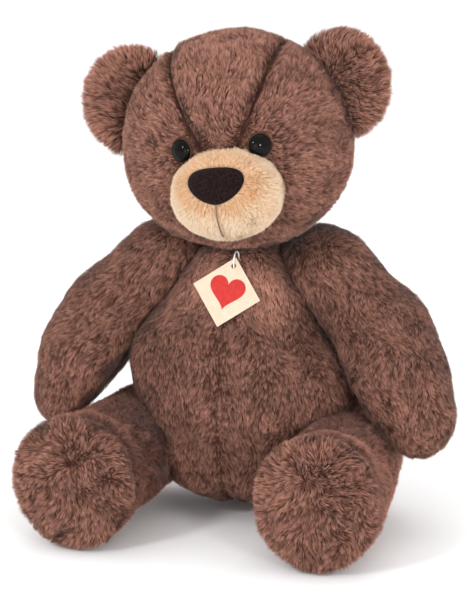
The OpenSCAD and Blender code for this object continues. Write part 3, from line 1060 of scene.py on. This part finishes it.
# The seam round a sole, which leans back as it rises
RIM_Y, RIM_LEAN = SOLE_FRONT + 15, 0.10


def rim_gap(p):
    """Distance from the seam round the sole."""
    return np.abs(p[:, 1] - RIM_Y - RIM_LEAN * (p[:, 2] - 50))


def leg_painted_light(p):
    """How much painted light a place gets, against the shade on the leg's top and sides: 0 on the sole,
    growing to 1 up the leg.
    """
    return ramp(p[:, 1], RIM_Y, RIM_Y + 20)


def make_leg(side):
    word = SIDE_NAME[side]
    body = f"leg_{word}"
    foot_x = FOOT_X[side]
    middle = mirrored([(86 + foot_x) / 2, HIP[1] - 78, 50], side)
    sole_middle = np.array([foot_x - 4, SOLE_FRONT + 10, 74.0])
    crease = np.array([side * foot_x, SOLE_FRONT, FOOT_LEVEL]) + SOLE_CREASE[side]

    def fold_gap(p):
        return line_distance(p, crease)[0]

    def shape(p):
        d = leg_shape(side)(p) + 0.6 * waves(p, 120 + side, 50)
        return d + 0.8 * near(rim_gap(p), 3.5) + 6.0 * near(fold_gap(p), 6)

    def comb(p):
        """Along the leg, and outward from the middle of the sole."""
        leg_way = along_limb(p, side, [[86, HIP[1], 50], [foot_x, FOOT_Y, 50]]) + [0, 0, -0.25]
        sole_way = mirrored(unit((mirrored(p, side) - sole_middle) * [1, 0.2, 1]), side)
        on_sole = np.clip((RIM_Y + 2 - p[:, 1]) / 6, 0, 1)[:, None]
        return leg_way * (1 - on_sole) + sole_way * on_sole

    def keep(p, n):
        """No pile where the leg lies against the torso."""
        q = mirrored(p, side)
        return ~((q[:, 0] < HIP[0] + 4) & (length_of((q - HIP)[:, 1:]) < 28))

    def shorten(p):
        return np.clip(1 - 0.2 * near(rim_gap(p), 2.5) - 0.55 * near(fold_gap(p), 4), 0.3, 1)

    # Painted light up the leg and painted shade in the sole's fold.
    def tone(p):
        return 0.3 * leg_painted_light(p) - 0.02 - 0.4 * near(fold_gap(p), 4)

    surface = star_surface(shape, middle, 6)
    skin_object(f"{body}_skin", surface, body, [f"leg_cover_{word}", f"sole_{word}"], 130 + side)
    wadding_object(f"{body}_wadding", leg_shape(side, FILL_IN), middle, body, f"leg_stuffing_{word}")
    # The lift adds more painted light up the leg.
    grow_fur(f"{body}_fur", body, surface, comb, 600 + side, length=7.6, lean=0.62, keep=keep, shorten=shorten,
             tone=tone, wander=0.8, swirl_size=24, lift=lambda p: 0.5 * leg_painted_light(p))


# ---------------------------------------------------------------- hang tag, stitches and inner parts

CARD_SIDE = 40
HEART_SCALE, HEART_UP = 0.92, 1
HEART_PROUD, HEART_SUNK = 0.06, -0.05


def corners_of(node):
    """A CAD node's corners, in millimetres."""
    return np.array([v.co[:] for v in frame["nodes"][node].data.vertices]) / MM


def repaint(node, material):
    materials = frame["nodes"][node].data.materials
    materials.clear()
    materials.append(material)


def tag_axes():
    """The card's own axes, across, through its face and up, and how far its low corner is from the pivot."""
    away = corners_of("hang_tag") - TAG_PIVOT
    lowest = away[np.argmax(length_of(away))]
    reach = np.linalg.norm(lowest)
    up = -lowest / reach
    _, _, rows = np.linalg.svd(away - away.mean(0), full_matrices=False)
    face = rows[2] * (-1 if rows[2][1] > 0 else 1)
    return np.cross(up, face), face, up, reach


def heart_point(t):
    """The place on a heart's outline, 32 wide, at an angle t."""
    height = 13 * math.cos(t) - 5 * math.cos(2 * t) - 2 * math.cos(3 * t) - math.cos(4 * t)
    return 16 * math.sin(t) ** 3, height


def make_tag():
    """The CAD's card and loop in their materials, with a plain heart printed on the card."""
    repaint("hang_tag", CARD)
    repaint("tag_loop", LOOP)
    across, face, up, reach = tag_axes()
    corners = corners_of("hang_tag")
    thick = np.abs((corners - corners.mean(0)) @ face).max()
    middle = TAG_PIVOT - up * (reach - CARD_SIDE / math.sqrt(2))
    turns = 64
    flat = [middle + across * HEART_SCALE * x + up * (HEART_SCALE * z + HEART_UP)
            for x, z in map(heart_point, np.linspace(0, 2 * math.pi, turns, endpoint=False))]
    corners = np.concatenate([flat + face * (thick + lift) for lift in (HEART_PROUD, HEART_SUNK)])
    faces = [tuple(range(turns)), tuple(range(2 * turns - 1, turns - 1, -1))]
    faces += [(i, i + turns, (i + 1) % turns + turns, (i + 1) % turns) for i in range(turns)]
    make_object("tag_heart", corners, faces, "tag", "tag_card", RED_PRINT, smooth=False)


STITCHES, STITCH_LOW, STITCH_STEP = 11, 124, 6
STITCH_HALF_W, STITCH_SLANT, STITCH_R = 4.2, 0.25, 0.6


def stitch_line(level):
    """A stitch across the back's middle seam, arched over the skin."""
    line = []
    for x in np.linspace(-STITCH_HALF_W, STITCH_HALF_W, 9):
        y, z = AXIS_Y + 100.0, level + STITCH_SLANT * x
        for _ in range(40):
            y -= 0.9 * float(torso_skin_shape(np.array([[x, y, z]]))[0])
        line.append((x, y + 0.2 + 0.5 * (1 - (x / STITCH_HALF_W) ** 2), z))
    return line


def make_back_stitches():
    """Hand-sewn ladder stitches that pull the back closed."""
    all_corners, all_faces = [], []
    for i in range(STITCHES):
        corners, faces = tube(stitch_line(STITCH_LOW + STITCH_STEP * i), STITCH_R)
        all_faces += [tuple(c + len(all_corners) for c in f) for f in faces]
        all_corners += list(corners)
    piece = make_object("back_ladder_stitches", all_corners, all_faces, "torso", "brown_thread", SEAM_THREAD)
    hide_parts("back_closing_seam")


def finish_inner_parts():
    for node in frame["nodes"]:
        if any(word in node for word in ("disc", "washer", "lock_ring")):
            repaint(node, JOINT_PLASTIC)


# ---------------------------------------------------------------- stage

def make_stage():
    reach, white = 6.0, (0.97, 0.97, 0.97, 1)
    corners = [(-reach, -reach, 0), (reach, -reach, 0), (reach, reach, 0), (-reach, reach, 0)]
    mesh = bpy.data.meshes.new("floor")
    mesh.from_pydata(corners, [], [(0, 1, 2, 3)])
    material, nodes, _ = new_material("pale_floor")
    plain_settings(nodes["Principled BSDF"], Roughness=0.9, Specular_IOR_Level=0.1, Base_Color=white)
    mesh.materials.append(material)
    floor = bpy.data.objects.new("floor", mesh)
    bpy.context.scene.collection.objects.link(floor)


def soft_light(name, place, aim, size, power):
    light = bpy.data.lights.new(name, "AREA")
    light.energy, light.size = power, size
    lamp = bpy.data.objects.new(name, light)
    lamp.location = place
    lamp.rotation_euler = (Vector(aim) - Vector(place)).to_track_quat("-Z", "Y").to_euler()
    bpy.context.scene.collection.objects.link(lamp)


def make_light():
    world = bpy.data.worlds.new("studio")
    world.use_nodes = True
    world.node_tree.nodes["Background"].inputs["Color"].default_value = (1, 1, 1, 1)
    world.node_tree.nodes["Background"].inputs["Strength"].default_value = 1.08
    bpy.context.scene.world = world
    soft_light("key", place=(-0.7, -1.9, 1.3), aim=(0, 0, 0.2), size=0.3, power=17)
    soft_light("fill", place=(1.35, -1.6, 0.6), aim=(0, 0, 0.15), size=0.32, power=14)
    soft_light("front", place=(0.25, -2.2, 0.3), aim=(0, 0, 0.15), size=1.0, power=8)
    soft_light("top", place=(0.1, 0.5, 2.0), aim=(0, 0, 0.1), size=1.4, power=5)
    bpy.context.scene.view_settings.view_transform = "Standard"


def make_camera():
    azimuth, elevation, distance = math.radians(17), math.radians(13), 2.0
    aim = Vector((-0.0015, (AXIS_Y - 20) * MM, 0.176))
    back = Vector((math.sin(azimuth) * math.cos(elevation), -math.cos(azimuth) * math.cos(elevation),
                   math.sin(elevation)))
    data = bpy.data.cameras.new("camera")
    data.lens, data.sensor_width = 150, 36
    camera = bpy.data.objects.new("camera", data)
    camera.location = aim + back * distance
    camera.rotation_euler = (-back).to_track_quat("-Z", "Y").to_euler()
    bpy.context.scene.collection.objects.link(camera)
    bpy.context.scene.camera = camera


make_camera()
make_stage()
make_light()
make_torso()
make_head()
for ear_side in (LEFT, RIGHT):
    make_ear(ear_side)
make_muzzle()
make_nose()
make_mouth()
for eye_side in (LEFT, RIGHT):
    make_eye(eye_side)
for arm_side in (LEFT, RIGHT):
    make_arm(arm_side)
for leg_side in (LEFT, RIGHT):
    make_leg(leg_side)
make_tag()
make_back_stitches()
finish_inner_parts()
